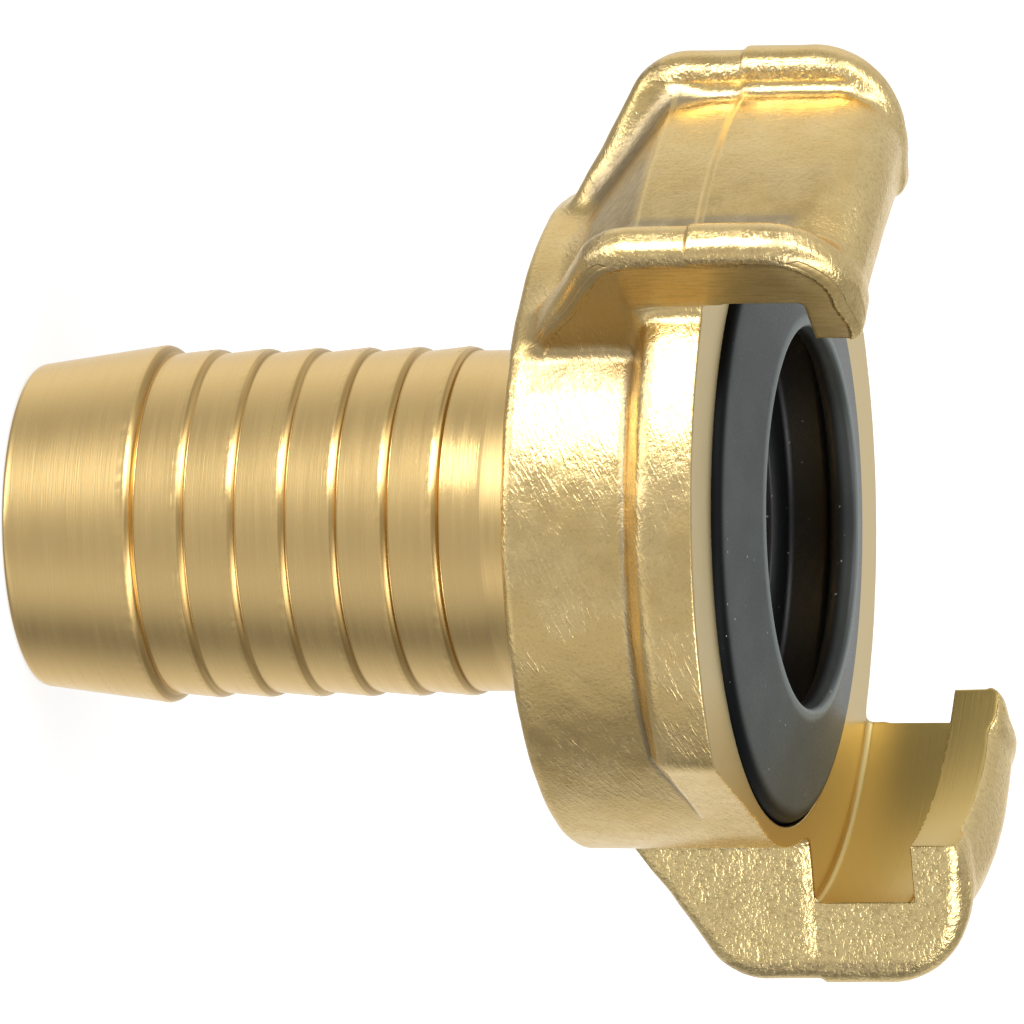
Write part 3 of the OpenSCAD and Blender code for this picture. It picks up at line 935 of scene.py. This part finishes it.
def makeFloor():
    reach = studio["floorReach"] * mm
    mesh = bpy.data.meshes.new("floor")
    mesh.from_pydata([(-reach, -reach, 0), (reach, -reach, 0), (reach, reach, 0), (-reach, reach, 0)], [],
                     [(0, 1, 2, 3)])
    floor = bpy.data.objects.new("floor", mesh)
    bpy.context.scene.collection.objects.link(floor)
    material = bpy.data.materials.new("paleFloor")
    material.use_nodes = True
    shader = material.node_tree.nodes["Principled BSDF"]
    grey = studio["floorGrey"]
    shader.inputs["Base Color"].default_value = (grey, grey, grey, 1)
    shader.inputs["Emission Color"].default_value = (1, 1, 1, 1)
    shader.inputs["Emission Strength"].default_value = studio["floorGlow"]
    shader.inputs["Roughness"].default_value = 0.9
    shader.inputs["Specular IOR Level"].default_value = 0.0
    mesh.materials.append(material)
    floor.visible_glossy = False
    floor.visible_shadow = False


def lightRing(tree, around, profile):
    ramp = tree.nodes.new("ShaderNodeValToRGB")
    ramp.color_ramp.interpolation = "B_SPLINE"
    tree.links.new(around, ramp.inputs[0])
    stops = ramp.color_ramp.elements
    brightest = max(value for _, value in profile)
    for i, (angle, value) in enumerate(profile):
        place = (angle + 180) / 360
        stop = stops[i] if i < 2 else stops.new(place)
        stop.position = place
        stop.color = (value / brightest, value / brightest, value / brightest, 1)
    return times(tree, ramp.outputs[0], brightest)


def makeWorld():
    s = studio
    world = bpy.data.worlds.new("studio")
    bpy.context.scene.world = world
    world.use_nodes = True
    tree = world.node_tree
    background = tree.nodes["Background"]
    way = tree.nodes.new("ShaderNodeTexCoord")
    split = tree.nodes.new("ShaderNodeSeparateXYZ")
    tree.links.new(way.outputs["Generated"], split.inputs[0])
    x, y, z = split.outputs
    turn = math.radians(s["viewAngle"])
    ahead = weighted(tree, x, math.cos(turn), y, math.sin(turn))
    aside = weighted(tree, y, math.cos(turn), x, -math.sin(turn))
    around = timesPlus(tree, calc(tree, "ARCTAN2", aside, ahead), 1 / (2 * math.pi), 0.5)
    glow = mixValue(tree, stepRange(tree, z, *s["highFrom"]), lightRing(tree, around, s["level"]),
                    lightRing(tree, around, s["high"]))
    glow = mixValue(tree, stepRange(tree, z, *s["lowFrom"]), glow, lightRing(tree, around, s["low"]))
    seen = tree.nodes.new("ShaderNodeLightPath")
    shown = mixValue(tree, seen.outputs["Is Camera Ray"], glow, s["background"])
    tree.links.new(shown, background.inputs["Color"])


def addSoftLight(name, angle, height, away, size, power, aimZ=20, reflected=False):
    light = bpy.data.lights.new(name, "AREA")
    light.shape = "RECTANGLE"
    light.size, light.size_y = (side * mm for side in size)
    light.energy = power
    lamp = bpy.data.objects.new(name, light)
    turn = math.radians(studio["viewAngle"] + angle)
    lamp.location = Vector((away * math.cos(turn), away * math.sin(turn), height)) * mm
    aim = Vector((0, 0, aimZ * mm)) - lamp.location
    lamp.rotation_euler = aim.to_track_quat("-Z", "Y").to_euler()
    lamp.visible_camera = False
    lamp.visible_glossy = reflected
    lamp.visible_diffuse = not reflected
    bpy.context.scene.collection.objects.link(lamp)


def makeCamera():
    s = studio
    turn, tilt, roll = (math.radians(s[k]) for k in ("viewAngle", "elevation", "roll"))
    outward = Vector((math.cos(turn), math.sin(turn), 0))
    axis = Vector((0, 0, 1))
    imageUp = Vector((math.sin(turn), -math.cos(turn), 0))
    imageRight = axis * math.cos(tilt) - outward * math.sin(tilt)
    towards = axis * math.sin(tilt) + outward * math.cos(tilt)
    right = imageRight * math.cos(roll) + imageUp * math.sin(roll)
    up = imageUp * math.cos(roll) - imageRight * math.sin(roll)
    spot = towards * s["distance"]
    aside, below = (place - s["frame"] / 2 for place in s["tailPixel"])
    target = (up * below - right * aside) * s["pixel"]
    back = (spot - target).normalized()
    side = (right - back * right.dot(back)).normalized()
    top = back.cross(side)
    camera = bpy.data.objects.new("camera", bpy.data.cameras.new("camera"))
    camera.data.sensor_width = s["sensor"]
    camera.data.lens = s["sensor"] * s["distance"] / (s["frame"] * s["pixel"])
    camera.data.clip_end = 20
    camera.matrix_world = Matrix((
        (side.x, top.x, back.x, spot.x * mm), (side.y, top.y, back.y, spot.y * mm),
        (side.z, top.z, back.z, spot.z * mm), (0, 0, 0, 1)))
    bpy.context.scene.collection.objects.link(camera)
    bpy.context.scene.camera = camera


makeFloor()
makeWorld()
addSoftLight("overhead", angle=0, height=1200, away=60, size=(1300, 1300), power=20)
addSoftLight("headGlow", angle=-36, height=33, away=78, size=(36, 38), power=0.029, aimZ=33, reflected=True)
makeCamera()
bpy.context.scene.view_settings.view_transform = "Standard"
print("studio is set")
